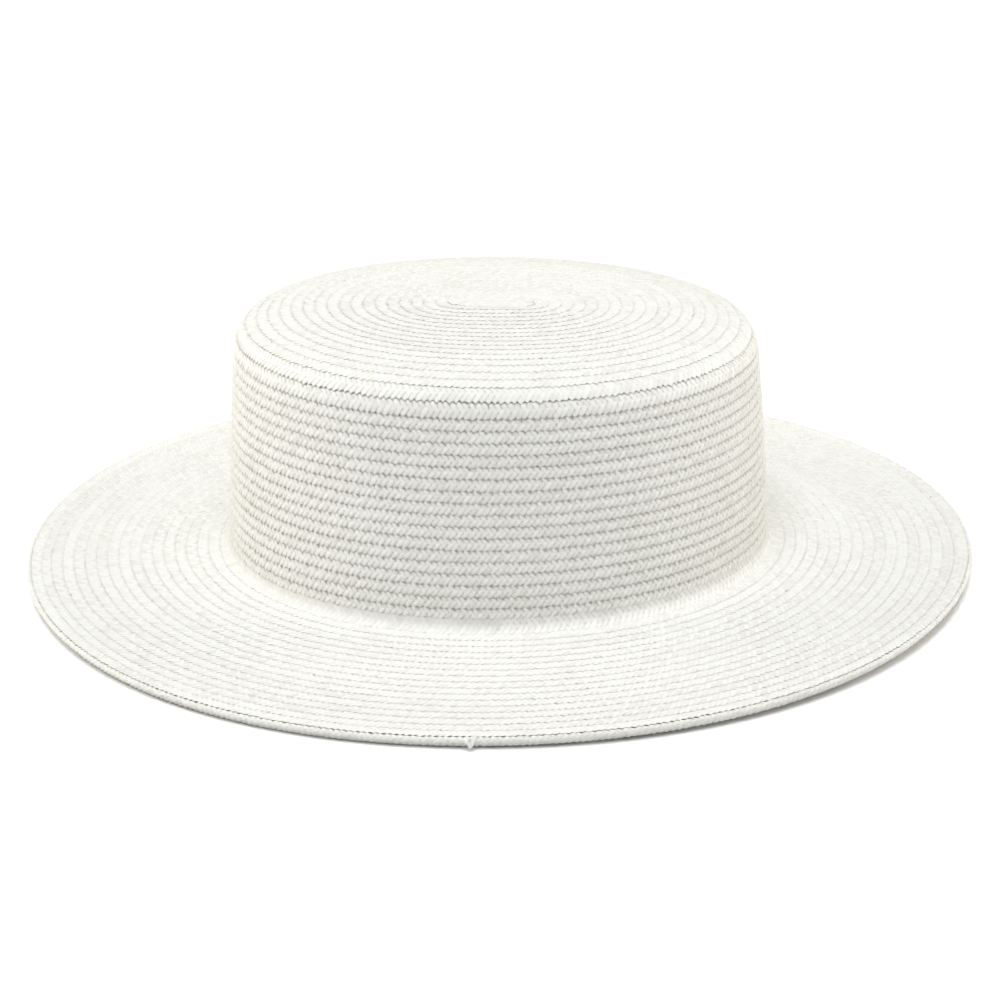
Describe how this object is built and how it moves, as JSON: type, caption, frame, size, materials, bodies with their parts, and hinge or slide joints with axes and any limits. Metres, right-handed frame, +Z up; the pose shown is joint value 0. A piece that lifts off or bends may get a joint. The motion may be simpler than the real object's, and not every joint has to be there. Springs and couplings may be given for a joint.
{
  "type": "straw hat",
  "caption": "Straw boater sewn from narrow paper braid: flat oval crown, open below for the head, and a wide flat brim with a folded edge that it rests on.",
  "frame": {"origin": "on the surface that the hat rests on, under the middle of the crown", "axes": "+Z up through the crown, +X along the long way of the head opening, +Y across it"},
  "size_m": [0.346, 0.3216, 0.0982],
  "materials": {
    "straw": "matt white plaited paper straw, sewn in rows",
    "edge_straw": "matt white plaited paper straw, folded round the rim"
  },
  "bodies": {
    "root": {"crown": "straw", "brim": "straw", "brim_edge": "edge_straw"}
  },
  "joints": []
}
